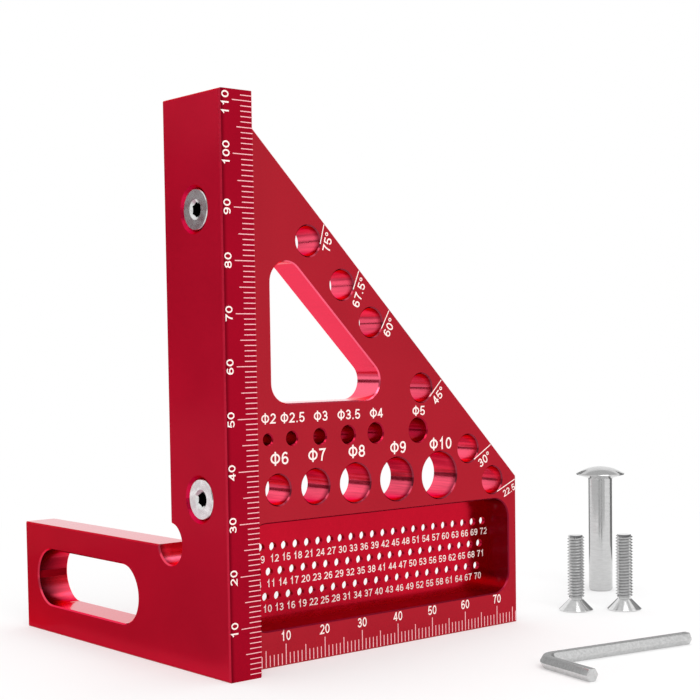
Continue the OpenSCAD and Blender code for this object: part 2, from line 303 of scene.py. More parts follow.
def select_only(piece):
    """Make one piece the active and only selected one."""
    for other in bpy.context.selected_objects:
        other.select_set(False)
    piece.select_set(True)
    bpy.context.view_layer.objects.active = piece


def apply_modifier(piece, kind, **settings):
    """Add a modifier with its settings and apply it."""
    select_only(piece)
    bpy.ops.object.modifier_add(type=kind)
    modifier = piece.modifiers[-1]
    for name, value in settings.items():
        setattr(modifier, name, value)
    bpy.ops.object.modifier_apply(modifier=modifier.name)


def combine(piece, tool, operation):
    """Join, subtract or intersect a closed tool and use it up."""
    apply_modifier(piece, "BOOLEAN", object=tool, operation=operation, solver="EXACT")
    bpy.data.objects.remove(tool)


def draw_line(points):
    """Draw a line from point to point, and stay in edit mode with its last point selected."""
    for other in bpy.context.selected_objects:
        other.select_set(False)
    bpy.ops.mesh.primitive_plane_add(size=1)
    bpy.ops.object.mode_set(mode="EDIT")
    bpy.ops.mesh.merge(type="CENTER")
    bpy.ops.transform.translate(value=points[0])
    for start, end in zip(points, points[1:]):
        step = Vector(end) - Vector(start)
        bpy.ops.mesh.extrude_vertices_move(TRANSFORM_OT_translate={"value": step})
    return bpy.context.object


def pen_stroke(points, width):
    """Draw a flat stroke of a given width: a line raised into a thin wall and thickened."""
    stroke = draw_line([(x, y, -mark_depth / 2) for x, y in points])
    bpy.ops.mesh.select_all(action="SELECT")
    bpy.ops.mesh.remove_doubles(threshold=pen_weld_gap)
    bpy.ops.mesh.extrude_region_move(TRANSFORM_OT_translate={"value": (0, 0, mark_depth)})
    bpy.ops.object.mode_set(mode="OBJECT")
    apply_modifier(stroke, "SOLIDIFY", thickness=width, offset=0, use_even_offset=True)
    return stroke


def draw_character(parts, width):
    """Draw one character of unit height from its strokes."""
    strokes = []
    for part in parts:
        points = []
        for item in part:
            if len(item) == 2:
                points.append(item)
                continue
            (x, y), (wide, high), first, last = item
            steps = max(2, round(abs(last - first) / arc_step))
            for i in range(steps + 1):
                angle = math.radians(first + (last - first) * i / steps)
                points.append((x + wide * math.cos(angle), y + high * math.sin(angle)))
        strokes.append(pen_stroke(points, width))
    for extra in strokes[1:]:
        combine(strokes[0], extra, "UNION")
    return strokes[0]


def stamp(master, place, turn=0.0, size=(1, 1, 1)):
    """Copy a master mark, with a mesh of its own, to a place in the plane of the marks."""
    copy = master.copy()
    copy.data = master.data.copy()
    copy.location = (*place, 0)
    copy.rotation_euler = (0, 0, math.radians(turn))
    copy.scale = size
    bpy.context.scene.collection.objects.link(copy)
    return copy


def write(text, start, height, turn=0.0, spread=1.0, middle=False):
    """Write a text from its lower left corner, or about its middle, at an angle in degrees, with
    its letters widened by a factor."""
    widths = [advances.get(letter, digit_advance) * height * spread for letter in text]
    along = -sum(widths) / 2 if middle else 0.0
    direction = Vector((math.cos(math.radians(turn)), math.sin(math.radians(turn))))
    marks = []
    for letter, width in zip(text, widths):
        place = Vector(start) + direction * (along + width / 2)
        marks.append(stamp(masters[letter], place, turn, (height * spread, height, 1)))
        along += width
    return marks


def engrave(marks, name, face, oxide):
    """Join marks drawn in millimetres and lay them on a face that looks towards -Y."""
    select_only(marks[0])
    for mark in marks[1:]:
        mark.select_set(True)
    bpy.ops.object.join()
    piece = bpy.context.object
    piece.name = piece.data.name = name
    bpy.ops.object.transform_apply(location=True, rotation=True, scale=True)
    piece.rotation_euler = (math.radians(90), 0, 0)
    piece.location = (0, face, 0)
    piece.scale = (mm, mm, mm)
    bpy.ops.object.transform_apply(location=True, rotation=True, scale=True)
    piece.data.materials.clear()
    piece.data.materials.append(oxide)
    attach(piece, "ruler")


masters = {letter: draw_character(parts, fine_pen_width if letter == "°" else pen_width)
           for letter, parts in characters.items()}
tick_master = pen_stroke([(0, 0), (1, 0)], 1.0)


def bleached_oxide(name, pale, dyed):
    """Bare oxide that a laser has burnt free of dye: chalky, and it doesn't shine. The blast's
    grain shows in it as a mottle of a paler and a more dyed colour."""
    material, tree = bare_material(name)
    place = add_node(tree, "ShaderNodeTexCoord", {})
    grain = add_node(tree, "ShaderNodeTexNoise", {
        "Vector": place.outputs["Object"], "Scale": 1 / (blast_grain * mm), "Detail": 2.0})
    colour = add_node(tree, "ShaderNodeMixRGB", {
        "Fac": grain.outputs["Fac"], "Color1": linear(dyed), "Color2": linear(pale)})
    surface = add_node(tree, "ShaderNodeBsdfPrincipled", {
        "Base Color": colour.outputs["Color"], "Roughness": chalk_roughness})
    add_node(tree, "ShaderNodeOutputMaterial", {"Surface": surface.outputs["BSDF"]})
    return material


# Numbers are burnt in several passes and come out white. A line takes one pass and stays pink.
number_oxide = bleached_oxide("laser_bleached_numbers", *number_white)
line_oxide = bleached_oxide("laser_bleached_lines", *line_pink)


def tick(start, length, turn, width=tick_width):
    """Rule a line of a given length from a point, at an angle in degrees."""
    return stamp(tick_master, start, turn, (length, width, 1))


def tick_length(count, lengths):
    """Find the length of the line for a count of millimetres."""
    return lengths[10 if count % 10 == 0 else 5 if count % 5 == 0 else 1]


fence_lines = [tick((0, height), tick_length(height, fence_tick_lengths), 180,
                    fence_tick_width)
               for height in range(1, round(fence_high.z / mm))]
engrave(fence_lines, "fence_scale_lines", fence_low.y, line_oxide)

fence_figures = []
for number in fence_numbers:
    baseline = fence_number_middle + fence_number_height / 2
    height = min(number, fence_high.z / mm - fence_last_number_drop)
    fence_figures += write(str(number), (baseline, height), fence_number_height, turn=90,
                           spread=fence_number_spread, middle=True)
engrave(fence_figures, "fence_scale_numbers", fence_low.y, number_oxide)

# Triangle plate
# The plate is cut from the same aluminium, with a window, a pocket milled nearly through, and
# holes reamed for gauging rods and for the pin that sets an angle. It is blasted and dyed like
# the fence. The pocket's corners and the smaller holes are painted a darker red, as shade.
plate_red = "B3202F"
plate_edge_red = "B41C38"
plate_wall_red = "FF5A7A"
bore_red = "EA546E"
pocket_red = "C01029"
small_hole_shade_red = "A80F30"
pocket_shade_red = "8A0B2B"
milled_along_y = (0.5, 12.0, 0.5)
end_milled = (1.2, 1.2, 1.2)
small_gauges = (2, 2.5, 3, 3.5, 4, 5)
big_gauges = (6, 7, 8, 9, 10)
small_bore_reach = 4.0
bore_reach = 5.6
pocket_depth = 6.5
pocket_top_drop = 6.4
outer_margin = 1.0
same_level = 1e-5
bores = {mount["name"]: mount["pos_m"] for mount in frame["record"]["mounts"]
         if mount["kind"] == "bore"}


def bore_place(kind, size):
    """Find the mouth of the angle or gauge hole that is marked with a size."""
    return bores[kind + "_" + str(size).replace(".", "_")]


plate = frame["nodes"]["triangle_plate"]
plate_low, plate_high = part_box("triangle_plate")
pocket_floor_y = plate_low.y + pocket_depth * mm
pocket_top = bore_place("gauge", big_gauges[0])[2] - pocket_top_drop * mm
small_bores = [Vector(bore_place("gauge", size)) for size in small_gauges]
all_bores = [Vector(place) for place in bores.values()]

# Satin like the fence's flats, in a red a little nearer to brick
plate_flat = anodised_aluminium(
    "blasted_red_anodised_plate", plate_red, roughness=0.42, grain=blasted, coat=0.1)
# A dark red with a soft shine on the edges that the ruler is drawn along
plate_edge = anodised_aluminium(
    "milled_red_anodised_edges", plate_edge_red, roughness=0.25, grain=milled_along_y, coat=0.2)
# Glossy: the window's wall mirrors the pale room, and its light, almost pink red is painted
# highlight
plate_wall = anodised_aluminium(
    "milled_red_anodised_window", plate_wall_red, roughness=0.18, grain=milled_along_y,
    coat=0.8)
# The end mill leaves the pocket's floor brighter than the blasted flats, and a little mottled
pocket_finish = anodised_aluminium(
    "milled_red_anodised_pocket", pocket_red, roughness=0.2, grain=end_milled, coat=0.05)
# Light red, partly painted highlight, with strong streaks along the reamer's axis, and painted
# shade as a dark rim just behind the mouth
bore_finish = anodised_aluminium(
    "reamed_red_anodised_bores", bore_red, roughness=0.2, grain=milled_along_y, coat=0.0,
    lines=0.6, edge=("Y", plate_low.y, mouth_shade_reach, mouth_shade_share))
# Painted shade: the smaller holes are a deep, dark red with faint streaks
small_hole_shade_finish = anodised_aluminium(
    "painted_shade_red_anodised_bores", small_hole_shade_red, roughness=0.25, grain=milled_along_y, coat=0.1,
    lines=0.35)
# The darkest red, painted shade in the pocket's corners, and its walls are dull
pocket_shade_finish = anodised_aluminium(
    "painted_shade_red_anodised_pocket", pocket_shade_red, roughness=0.4, grain=milled_along_x,
    coat=0.15)


def plate_finish(face):
    """Choose the finish of a face of the plate by its place and the way it faces."""
    x, y, z = face.center
    if abs(face.normal.y) > flat_normal:
        on_pocket_floor = abs(y - pocket_floor_y) < same_level
        return pocket_finish if on_pocket_floor else plate_flat
    inside = plate_low.x + outer_margin * mm < x < plate_high.x - outer_margin * mm
    if inside and plate_low.z + outer_margin * mm < z < pocket_top:
        in_pencil_hole = y > pocket_floor_y + same_level
        return small_hole_shade_finish if in_pencil_hole else pocket_shade_finish
    if any((face.center - bore).xz.length < small_bore_reach * mm for bore in small_bores):
        return small_hole_shade_finish
    if any((face.center - bore).xz.length < bore_reach * mm for bore in all_bores):
        return bore_finish
    below_slope = plate_low.x + plate_high.z - x - z
    in_window = inside and z > pocket_top and below_slope > outer_margin * mm
    return plate_wall if in_window else plate_edge


finish_faces(plate, [plate_flat, plate_wall, pocket_finish, pocket_shade_finish, bore_finish,
                     small_hole_shade_finish, plate_edge], plate_finish)

# Base scale
# A laser line for each millimetre along the foot of the plate, with upright numbers.
base_line_start = 0.28
base_numbers = range(10, 80, 10)
base_tick_lengths = {1: 2.25, 5: 3.3, 10: 4.1}
base_number_height = 1.95
base_number_foot = 5.02
base_number_spread = 0.86

base_lines = [tick((along, base_line_start), tick_length(along, base_tick_lengths), 90)
              for along in range(1, math.ceil(plate_high.x / mm))]
engrave(base_lines, "base_scale_lines", plate_low.y, line_oxide)

base_figures = []
for number in base_numbers:
    base_figures += write(str(number), (number, base_number_foot), base_number_height,
                          spread=base_number_spread, middle=True)
engrave(base_figures, "base_scale_numbers", plate_low.y, number_oxide)

# Angle marks
# A reading line runs from the pin's side in each angle hole to the edge of the plate, at the
# angle that the hole sets, with its number under it. The last has no room for its degree sign.
angle_labels = {75: "75°", 67.5: "67.5°", 60: "60°", 45: "45°", 30: "30°", 22.5: "22.5"}
angle_label_starts = {75: -0.9, 67.5: -2.9, 60: -0.5, 45: 0.2, 30: 0.9, 22.5: 1.8}
angle_label_foot = 2.85
angle_label_height = 1.95
last_angle_label_height = 1.5
last_angle_label_foot = 2.3
angle_line_lift = 0.1
angle_line_start = 0.3
angle_line_margin = 0.35
pin_radius = 3.0

angle_marks = []
slope_sum = plate_high.z / mm
for angle, label in angle_labels.items():
    hole = bore_place("angle", angle)
    centre = Vector((hole[0] / mm, hole[2] / mm))
    turn = math.radians(angle)
    direction = Vector((math.cos(turn), math.sin(turn)))
    below = Vector((direction.y, -direction.x))
    touch = centre + below * pin_radius
    start = touch + below * angle_line_lift + direction * angle_line_start
    to_slope = (slope_sum - start.x - start.y) / (direction.x + direction.y)
    to_side = (plate_high.x / mm - start.x) / direction.x
    length = min(to_slope, to_side) - angle_line_margin
    angle_marks.append(tick(start, length, angle))
    last = angle == min(angle_labels)
    label_foot, label_height = ((last_angle_label_foot, last_angle_label_height) if last
                                else (angle_label_foot, angle_label_height))
    foot = touch + direction * angle_label_starts[angle] + below * label_foot
    angle_marks += write(label, foot, label_height, angle)
engrave(angle_marks, "angle_marks", plate_low.y, number_oxide)

# Gauge marks
# The diameter of the rod that each gauge hole takes, under the sign for a diameter.
gauge_label_shift = 0.2
gauge_label_rise = 3.15
gauge_label_height = 2.0
big_gauge_label_shift = 0.35
big_gauge_label_rise = 5.0
big_gauge_label_step = 0.15
big_gauge_label_height = 2.5
gauge_label_spread = 1.03

gauge_marks = []
for size in small_gauges:
    hole = bore_place("gauge", size)
    foot = (hole[0] / mm + gauge_label_shift, hole[2] / mm + gauge_label_rise)
    gauge_marks += write("Φ%g" % size, foot, gauge_label_height, spread=gauge_label_spread,
                         middle=True)
for count, size in enumerate(big_gauges):
    hole = bore_place("gauge", size)
    foot = (hole[0] / mm + big_gauge_label_shift,
            hole[2] / mm + big_gauge_label_rise + count * big_gauge_label_step)
    gauge_marks += write("Φ%g" % size, foot, big_gauge_label_height,
                         spread=gauge_label_spread, middle=True)
engrave(gauge_marks, "gauge_marks", plate_low.y, number_oxide)

# Pencil numbers
# Each fine hole in the floor of the pocket has its distance from the fence written under it.
pencil_numbers = range(4, 73)
pencil_row_heights = (12.95, 18.02, 23.09)
pencil_label_shift = 0.35
pencil_label_drop = 3.15
pencil_label_height = 1.5

pencil_marks = []
for count, number in enumerate(pencil_numbers):
    foot = (number + pencil_label_shift,
            pencil_row_heights[count % len(pencil_row_heights)] - pencil_label_drop)
    pencil_marks += write(str(number), foot, pencil_label_height, middle=True)
engrave(pencil_marks, "pencil_numbers", pocket_floor_y, number_oxide)

for master in [*masters.values(), tick_master]:
    bpy.data.objects.remove(master)

# Fence screws
# Two M4 countersunk screws with a hexagon socket hold the plate to the fence. The blank is headed
# cold and its thread rolled, so the neck is thinner than the thread, and all of it is zinc
# plated. The upper head is painted a darker grey than the lower one, as shade.
head_radius = 4.0
head_rim = 0.3
rim_bevel = 0.15
neck_radius = 1.62
root_radius = 1.55
crest_radius = 2.0
thread_pitch = 0.7
flank_share = 0.6
thread_steps = 48
spare_turns = 2
blank_margin = 0.05
socket_flats = 2.6
socket_depth = 1.8
socket_floor_margin = 0.05
socket_mouth_radius = 1.95
socket_mouth_depth = 0.4
socket_turn = math.radians(30)
root_reach = (1.0, 1.7)
rim_normals = (-0.95, -0.3)
turned_steps = 96
weld_gap = 1e-4
sharp_angle = math.radians(30)
plating_low, plating_high = 0.35, 0.65
plating_gloss_spread = 0.05
socket_shade_greys = ("2A2A2C", "161618")
rim_highlight_greys = ("E6E6E6", "D0D0D0")
thread_shade_greys = ("949496", "7C7C7E")
# The upper screw's darker greys are painted shade
fence_screw_greys = {"upper": ("CCD0D0", "BABEBE"), "lower": ("F2EFF0", "E3E0E1")}

# The grain in mm. Real plating is far finer, so its grain is drawn as coarse as it needs to show.
fine_grain = (0.4, 0.4, 0.4)
headed_grain = (1.6, 1.6, 1.6)


def turned(points, name):
    """Turn a closed piece about its axis, z, from half of its outline."""
    piece = draw_line([(radius, 0, height) for radius, height in points])
    bpy.ops.mesh.select_all(action="SELECT")
    bpy.ops.mesh.spin(steps=turned_steps, angle=math.tau, center=(0, 0, 0), axis=(0, 0, 1))
    bpy.ops.mesh.select_all(action="SELECT")
    bpy.ops.mesh.remove_doubles(threshold=weld_gap)
    bpy.ops.mesh.normals_make_consistent(inside=False)
    bpy.ops.object.mode_set(mode="OBJECT")
    piece.name = piece.data.name = name
    return piece


def rolled_thread(first, last):
    """Roll a thread between two heights, with both ends chamfered down to its root. Spare turns
    at both ends are cut off. A metric thread's crest is an eighth of its pitch wide."""
    flank = (crest_radius - root_radius) * flank_share
    crest_flat = thread_pitch / 8
    root_flat = thread_pitch - 2 * flank - crest_flat
    heights = (0, root_flat, root_flat + flank, root_flat + flank + crest_flat, thread_pitch)
    radii = (root_radius, root_radius, crest_radius, crest_radius, root_radius)
    thread = draw_line([(radius, 0, first - spare_turns * thread_pitch + height)
                        for radius, height in zip(radii, heights)])
    bpy.ops.object.mode_set(mode="OBJECT")
    turns = math.ceil((last - first) / thread_pitch) + 2 * spare_turns
    apply_modifier(thread, "SCREW", screw_offset=thread_pitch, iterations=turns,
                   steps=thread_steps, render_steps=thread_steps, use_merge_vertices=True)
    bpy.ops.object.mode_set(mode="EDIT")
    bpy.ops.mesh.select_all(action="SELECT")
    bpy.ops.mesh.remove_doubles(threshold=weld_gap)
    for height, above in ((first, False), (last, True)):
        bpy.ops.mesh.select_all(action="SELECT")
        bpy.ops.mesh.bisect(plane_co=(0, 0, height), plane_no=(0, 0, 1), use_fill=True,
                            clear_inner=not above, clear_outer=above)
    bpy.ops.mesh.select_all(action="SELECT")
    bpy.ops.mesh.normals_make_consistent(inside=False)
    bpy.ops.object.mode_set(mode="OBJECT")
    chamfer = crest_radius - root_radius + 2 * blank_margin
    below_first = first - 2 * blank_margin
    inner = root_radius - blank_margin
    outer = crest_radius + blank_margin
    blank = turned([(0, below_first), (inner, below_first), (outer, first + chamfer),
                    (outer, last - chamfer), (inner, last), (0, last)], "thread_blank")
    combine(thread, blank, "INTERSECT")
    return thread


def countersunk_screw(name, length, steel):
    """Make a screw that stands on its head at the origin, in millimetres."""
    cone_end = head_rim + head_radius - neck_radius
    screw = turned([(0, socket_mouth_depth), (socket_flats / 2, socket_mouth_depth),
                    (socket_mouth_radius, 0), (head_radius - rim_bevel, 0),
                    (head_radius, rim_bevel), (head_radius, head_rim), (neck_radius, cone_end),
                    (neck_radius, cone_end + thread_pitch), (0, cone_end + thread_pitch)], name)
    combine(screw, rolled_thread(cone_end + thread_pitch / 2, length), "UNION")
    corner_radius = socket_flats / math.sqrt(3)
    bpy.ops.mesh.primitive_cylinder_add(vertices=6, radius=corner_radius, depth=socket_depth,
                                        location=(0, 0, socket_depth / 2))
    socket = bpy.context.object
    socket.rotation_euler.z = socket_turn
    combine(screw, socket, "DIFFERENCE")

    def screw_finish(face):
        """Choose the finish of a face by its distance from the axis and its height."""
        reach = face.center.xy.length
        height = face.center.z
        on_wall = abs(face.normal.z) < wall_normal
        on_floor = socket_mouth_depth < height < socket_depth + socket_floor_margin
        if reach < corner_radius and (on_wall or on_floor):
            return socket_shade_steel
        if height > cone_end + thread_pitch / 2 and root_reach[0] < reach < root_reach[1]:
            return thread_shade_steel
        on_rim = height < socket_mouth_depth and rim_normals[0] < face.normal.z < rim_normals[1]
        return rim_highlight_steel if on_rim else steel

    finish_faces(screw, [steel, socket_shade_steel, thread_shade_steel, rim_highlight_steel], screw_finish)
    return screw


def plated_steel(name, pale, dark, roughness, grain, centre, lines):
    """Bright plated steel. The grain is its size in mm along x, y and z about a centre, and lines
    is how deep it stands, so turned, drawn and cold headed steel differ."""
    material, tree = bare_material(name)
    place = add_node(tree, "ShaderNodeTexCoord", {})
    centred = add_node(tree, "ShaderNodeMapping", {
        "Vector": place.outputs["Object"], "Location": [-value for value in centre]})
    grain_space = add_node(tree, "ShaderNodeMapping", {
        "Vector": centred.outputs["Vector"], "Scale": [1 / (size * mm) for size in grain]})
    fine = add_node(tree, "ShaderNodeTexNoise", {
        "Vector": grain_space.outputs["Vector"], "Scale": 1.0, "Detail": 3.0, "Roughness": 0.6})
    contrast = add_node(tree, "ShaderNodeMapRange", {
        "Value": fine.outputs["Fac"], "From Min": plating_low, "From Max": plating_high})
    colour = add_node(tree, "ShaderNodeMixRGB", {
        "Fac": contrast.outputs["Result"], "Color1": linear(dark), "Color2": linear(pale)})
    gloss = add_node(tree, "ShaderNodeMapRange", {
        "Value": contrast.outputs["Result"], "To Min": roughness + plating_gloss_spread,
        "To Max": roughness - plating_gloss_spread})
    relief = add_node(tree, "ShaderNodeBump", {
        "Height": fine.outputs["Fac"], "Strength": lines, "Distance": grain_height * mm})
    surface = add_node(tree, "ShaderNodeBsdfPrincipled", {
        "Base Color": colour.outputs["Color"], "Metallic": 1.0,
        "Roughness": gloss.outputs["Result"], "Normal": relief.outputs["Normal"]})
    add_node(tree, "ShaderNodeOutputMaterial", {"Surface": surface.outputs["BSDF"]})
    return material


def settle(piece, place, turn, body, node):
    """Put a piece drawn in millimetres at its place in metres, and let it stand for its CAD
    node on the node's body."""
    select_only(piece)
    piece.location = place
    piece.rotation_euler = turn
    piece.scale = (mm, mm, mm)
    bpy.ops.object.transform_apply(location=True, rotation=True, scale=True)
    bpy.ops.object.shade_smooth_by_angle(angle=sharp_angle)
    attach(piece, body)
    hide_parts(node)


# Painted shade: the socket's walls and floor are near black, so the hexagon looks black
socket_shade_steel = plated_steel("painted_shade_socket_steel", *socket_shade_greys, roughness=0.4,
                           grain=fine_grain, centre=(0, 0, 0), lines=0.2)
# The rims that the header's die rubs come out polished, and a paler grey paints a highlight on
# them, as a thin bright line
rim_highlight_steel = plated_steel("polished_rim_painted_highlight_steel", *rim_highlight_greys, roughness=0.2,
                         grain=fine_grain, centre=(0, 0, 0), lines=0.05)
# Painted shade: the root of the thread is a darker grey than the crest
thread_shade_steel = plated_steel("painted_shade_thread_root_steel", *thread_shade_greys, roughness=0.35,
                          grain=fine_grain, centre=(0, 0, 0), lines=0.2)

for which, greys in fence_screw_greys.items():
    node = "fence_screw_" + which
    low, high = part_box(node)
    middle = (low + high) / 2
    # Zinc over cold headed steel: a soft grey sheen with broad, faint clouds
    steel = plated_steel("zinc_plated_" + which + "_screw", *greys, roughness=0.26,
                         grain=headed_grain, centre=middle, lines=0.15)
    screw = countersunk_screw("m4_screw_" + which, (high.x - low.x) / mm, steel)
    settle(screw, (low.x, middle.y, middle.z), (0, math.radians(90), 0),
           which + "_screw", node)

# Angle pin
# The loose pin is turned from a steel bar and plated with nickel. Its head is a low dome that
# tapers under its rim, and its free end is bevelled to find the hole.
pin_head_radius = 6.1
pin_head_height = 2.9
pin_under_height = 0.9
pin_end_bevel = 0.4
pin_fillet = 0.35
pin_ease = 0.1
pin_rim_radius = 0.22
pin_rim_share = 0.3
dome_steps = 14
pin_greys = ("D0D0D0", "C8C8C8")
turned_grain = (2.0, 2.0, 0.4)

pin_low, pin_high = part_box("angle_pin")
pin_length = pin_high.z / mm - pin_head_height
dome_height = pin_head_height - pin_under_height - pin_rim_radius
dome_base_radius = pin_head_radius - pin_rim_radius
dome_radius = (dome_base_radius ** 2 + dome_height ** 2) / (2 * dome_height)
pin_outline = [(0, 0), (pin_radius - pin_end_bevel, 0),
               (pin_radius - pin_ease, pin_end_bevel - pin_ease),
               (pin_radius, pin_end_bevel + pin_ease), (pin_radius, pin_length - pin_fillet),
               (pin_radius + pin_ease, pin_length - pin_ease),
               (pin_radius + pin_fillet, pin_length + pin_ease / 2)]
rim_middle = pin_length + pin_under_height + pin_rim_radius / 2
rim_in = pin_head_radius - pin_rim_radius * pin_rim_share
rim_rise = pin_rim_radius * (1 - pin_rim_share)
pin_outline += [(pin_head_radius - pin_rim_radius, rim_middle - pin_rim_radius),
                (rim_in, rim_middle - rim_rise), (pin_head_radius, rim_middle),
                (rim_in, rim_middle + rim_rise)]
dome_top = pin_length + pin_head_height
for i in range(dome_steps + 1):
    radius = dome_base_radius * (1 - i / dome_steps)
    drop = dome_radius - math.sqrt(dome_radius ** 2 - radius ** 2)
    pin_outline.append((radius, dome_top - drop))
pin = turned(pin_outline, "domed_pin")
pin_middle = (pin_low + pin_high) / 2
# Nickel over turned steel: a smooth mirror with faint rings round the axis
nickel = plated_steel("nickel_plated_pin", *pin_greys, roughness=0.18,
                      grain=turned_grain, centre=pin_middle, lines=0.03)
pin.data.materials.append(nickel)
settle(pin, (pin_middle.x, pin_middle.y, 0), (0, 0, 0), "pin", "angle_pin")

# Loose screws
# Two longer screws of the same kind stand on their heads. Their plating is bright. They and the
# key are turned the way the camera looks.
kit_turn = math.radians(-40)
fresh_zinc_greys = ("E6E6E6", "DADADA")
bright_grain = (0.8, 0.8, 0.8)

for count in (1, 2):
    node = "spare_screw_%d" % count
    low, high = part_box(node)
    middle = (low + high) / 2
    # Fresh zinc: nearly white, and smooth enough to mirror the room
    zinc = plated_steel("bright_zinc_screw_%d" % count, *fresh_zinc_greys, roughness=0.14,
                        grain=bright_grain, centre=middle, lines=0.05)
    screw = countersunk_screw("m4_loose_screw_%d" % count, high.z / mm, zinc)
    settle(screw, (middle.x, middle.y, 0), (0, 0, kit_turn),
           "loose_screw_%d" % count, node)

# Hexagon key A drawn hexagon bar, cropped, bent round a former and nickel plated. It lies on one
# of its flats, with its short arm towards the front.
key_flats = 2.5
key_long = 40.0
key_short = 17.5
key_bend_radius = 3.5
key_bend_steps = 20
key_edge_bevel = 0.14
key_greys = ("D2D2D2", "C4C4C4")
key_grain = (0.6, 0.6, 0.6)
key_from_screw = (-16.3, -60.3)
key_turn = kit_turn + math.radians(30)

key_corner_radius = key_flats / math.sqrt(3)
bpy.ops.mesh.primitive_circle_add(
    vertices=6, radius=key_corner_radius, fill_type="NGON",
    location=(key_long - key_flats / 2, 0, key_flats / 2),
    rotation=(math.radians(90), math.radians(30), math.radians(90)))
key = bpy.context.object
key.name = key.data.name = "bent_hexagon_key"
bpy.ops.object.mode_set(mode="EDIT")
bpy.ops.mesh.select_all(action="SELECT")
bpy.ops.mesh.extrude_region_move(TRANSFORM_OT_translate={
    "value": (key_bend_radius - key_long + key_flats / 2, 0, 0)})
bpy.ops.mesh.spin(steps=key_bend_steps, angle=math.radians(-90),
                  center=(key_bend_radius, -key_bend_radius, key_flats / 2), axis=(0, 0, 1))
bpy.ops.mesh.extrude_region_move(TRANSFORM_OT_translate={
    "value": (0, key_bend_radius - key_short + key_flats / 2, 0)})
bpy.ops.mesh.select_all(action="SELECT")
bpy.ops.mesh.remove_doubles(threshold=weld_gap)
bpy.ops.mesh.normals_make_consistent(inside=False)
bpy.ops.object.mode_set(mode="OBJECT")
bpy.ops.object.transform_apply(location=True, rotation=True, scale=True)
apply_modifier(key, "BEVEL", width=key_edge_bevel, segments=2, limit_method="ANGLE",
               angle_limit=sharp_angle)
kit_low, kit_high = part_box("spare_screw_1")
kit_middle = (kit_low + kit_high) / 2
key_offset = Matrix.Rotation(kit_turn, 3, "Z") @ Vector((*key_from_screw, 0)) * mm
# Nickel over drawn steel: each flat is one plain grey, with a bright line along its edge
key_steel = plated_steel("nickel_plated_key", *key_greys, roughness=0.22,
                         grain=key_grain, centre=kit_middle, lines=0.02)
key.data.materials.append(key_steel)
settle(key, (kit_middle.x + key_offset.x, kit_middle.y + key_offset.y, 0), (0, 0, key_turn),
       "key", "hex_key")

# Floor
# A sheet of white paper under the object and far beyond it, so that its edge doesn't show. It
# takes the object's shadow near by and runs out into plain white.
floor_side = 40.0
paper_colour = "F8F8F8"
shadow_middle_x = 0.05
glow_start, glow_end = 0.06, 0.26
least_glow = 0.35


def seen_white(tree):
    """Give 1 to a ray from the camera, a shiny surface or glass, and 0 to one that lights."""
    ray = add_node(tree, "ShaderNodeLightPath", {})
    direct = add_node(tree, "ShaderNodeMath", {
        0: ray.outputs["Is Camera Ray"], 1: ray.outputs["Is Glossy Ray"]}, operation="MAXIMUM")
    seen = add_node(tree, "ShaderNodeMath", {
        0: direct.outputs["Value"], 1: ray.outputs["Is Transmission Ray"]}, operation="MAXIMUM")
    return seen.outputs["Value"]


bpy.ops.mesh.primitive_plane_add(size=floor_side, location=(0, 0, 0))
floor = bpy.context.object
floor.name = floor.data.name = "paper_floor"
# Matt white paper. To the camera it glows a little near the object, so that the shadow there is
# pale and soft, and fully further off, where it can't be told from the backdrop.
paper, paper_tree = bare_material("white_paper")
paper_place = add_node(paper_tree, "ShaderNodeTexCoord", {})
paper_middle = add_node(paper_tree, "ShaderNodeMapping", {
    "Vector": paper_place.outputs["Object"], "Location": (-shadow_middle_x, 0.0, 0.0)})
paper_distance = add_node(paper_tree, "ShaderNodeVectorMath", {
    0: paper_middle.outputs["Vector"]}, operation="LENGTH")
paper_far = add_node(paper_tree, "ShaderNodeMapRange", {
    "Value": paper_distance.outputs["Value"], "From Min": glow_start, "From Max": glow_end,
    "To Min": least_glow}, interpolation_type="SMOOTHSTEP")
paper_white = add_node(paper_tree, "ShaderNodeMath", {
    0: seen_white(paper_tree), 1: paper_far.outputs["Result"]}, operation="MULTIPLY")
paper_lit = add_node(paper_tree, "ShaderNodeBsdfDiffuse", {"Color": linear(paper_colour)})
paper_glow = add_node(paper_tree, "ShaderNodeEmission", {"Strength": 1.0})
paper_mix = add_node(paper_tree, "ShaderNodeMixShader", {
    0: paper_white.outputs["Value"], 1: paper_lit.outputs["BSDF"],
    2: paper_glow.outputs["Emission"]})
add_node(paper_tree, "ShaderNodeOutputMaterial", {"Surface": paper_mix.outputs["Shader"]})
floor.data.materials.append(paper)

# Light
# A pale room, white to the camera and in reflections, with a broad soft box above the ruler and
# one in front. Cards stand and lie round the object where only its shiny surfaces see them, and
# give the metal its darker and pinker streaks.
room_strength = 0.75
room_white = linear("FFFFFF")
ruler_middle = (fence_low + plate_high) / 2

world = bpy.data.worlds.new("pale_room")
bpy.context.scene.world = world
world.use_nodes = True
world_tree = world.node_tree
world_tree.nodes.clear()
room = add_node(world_tree, "ShaderNodeBackground", {
    "Color": room_white, "Strength": room_strength})
backdrop = add_node(world_tree, "ShaderNodeBackground", {"Color": room_white, "Strength": 1.0})
world_mix = add_node(world_tree, "ShaderNodeMixShader", {
    0: seen_white(world_tree), 1: room.outputs["Background"],
    2: backdrop.outputs["Background"]})
add_node(world_tree, "ShaderNodeOutputWorld", {"Surface": world_mix.outputs["Shader"]})


def soft_box(name, direction, distance, side, power):
    """Hang a square soft box that faces the ruler from a direction."""
    light = bpy.data.lights.new(name, "AREA")
    light.shape = "RECTANGLE"
    light.size = light.size_y = side
    light.energy = power
    lamp = bpy.data.objects.new(name, light)
    away = Vector(direction).normalized()
    lamp.location = ruler_middle + away * distance
    lamp.rotation_euler = away.to_track_quat("Z", "Y").to_euler()
    lamp.visible_camera = False
    bpy.context.scene.collection.objects.link(lamp)


